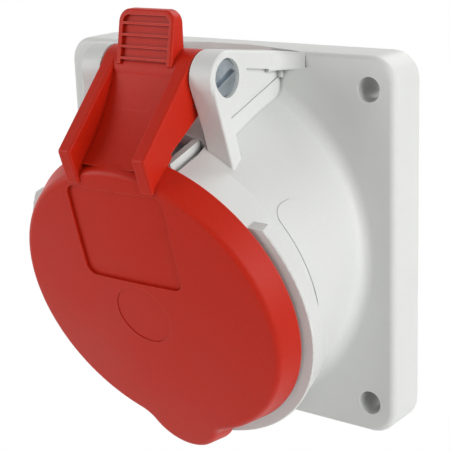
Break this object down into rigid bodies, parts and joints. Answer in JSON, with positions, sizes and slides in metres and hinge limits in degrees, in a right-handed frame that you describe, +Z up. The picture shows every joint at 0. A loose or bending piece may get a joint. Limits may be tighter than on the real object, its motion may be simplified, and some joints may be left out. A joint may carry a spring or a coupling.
{
  "type": "industrial socket",
  "caption": "Angled industrial panel socket with a square flange, a sprung hinged lid with a thumb tab, and pin contacts inside.",
  "frame": {"origin": "centre of the flange's back face, on the panel", "axes": "+X to the right, +Z up, the socket faces -Y and tilts down"},
  "size_m": [0.0986, 0.0754, 0.1115],
  "materials": {
    "housing_plastic": "satin",
    "lid_plastic": "satin",
    "carrier_plastic": "satin",
    "cover_plastic": "matte",
    "seal_rubber": "matte",
    "pin_steel": "satin",
    "spring_steel": "satin",
    "screw_steel": "satin",
    "contact_brass": "satin"
  },
  "bodies": {
    "housing": {"carrier_screws": "screw_steel", "carrier_seal": "seal_rubber", "contact_carrier": "carrier_plastic", "contact_earth": "contact_brass", "contact_l1": "contact_brass", "contact_l2": "contact_brass", "contact_l3": "contact_brass", "contact_neutral": "contact_brass", "contact_rings": "spring_steel", "cover_screw": "screw_steel", "hinge_pin": "pin_steel", "housing": "housing_plastic", "lid_spring": "spring_steel", "panel_gasket": "seal_rubber", "pin_clip": "pin_steel", "rear_cover": "cover_plastic", "socket_tube": "housing_plastic", "terminal_screws": "screw_steel"},
    "lid": {"lid": "lid_plastic", "lid_gasket": "seal_rubber"}
  },
  "joints": [
    {"name": "lid_hinge", "type": "hinge", "parent": "housing", "child": "lid", "pos_m": [0, -0.0339, 0.043], "axis": [-1, 0, 0], "range_deg": [0, 110], "stiffness_Nm_per_rad": 0.08, "springref_deg": -57.3, "deforming": ["lid_spring"]}
  ]
}
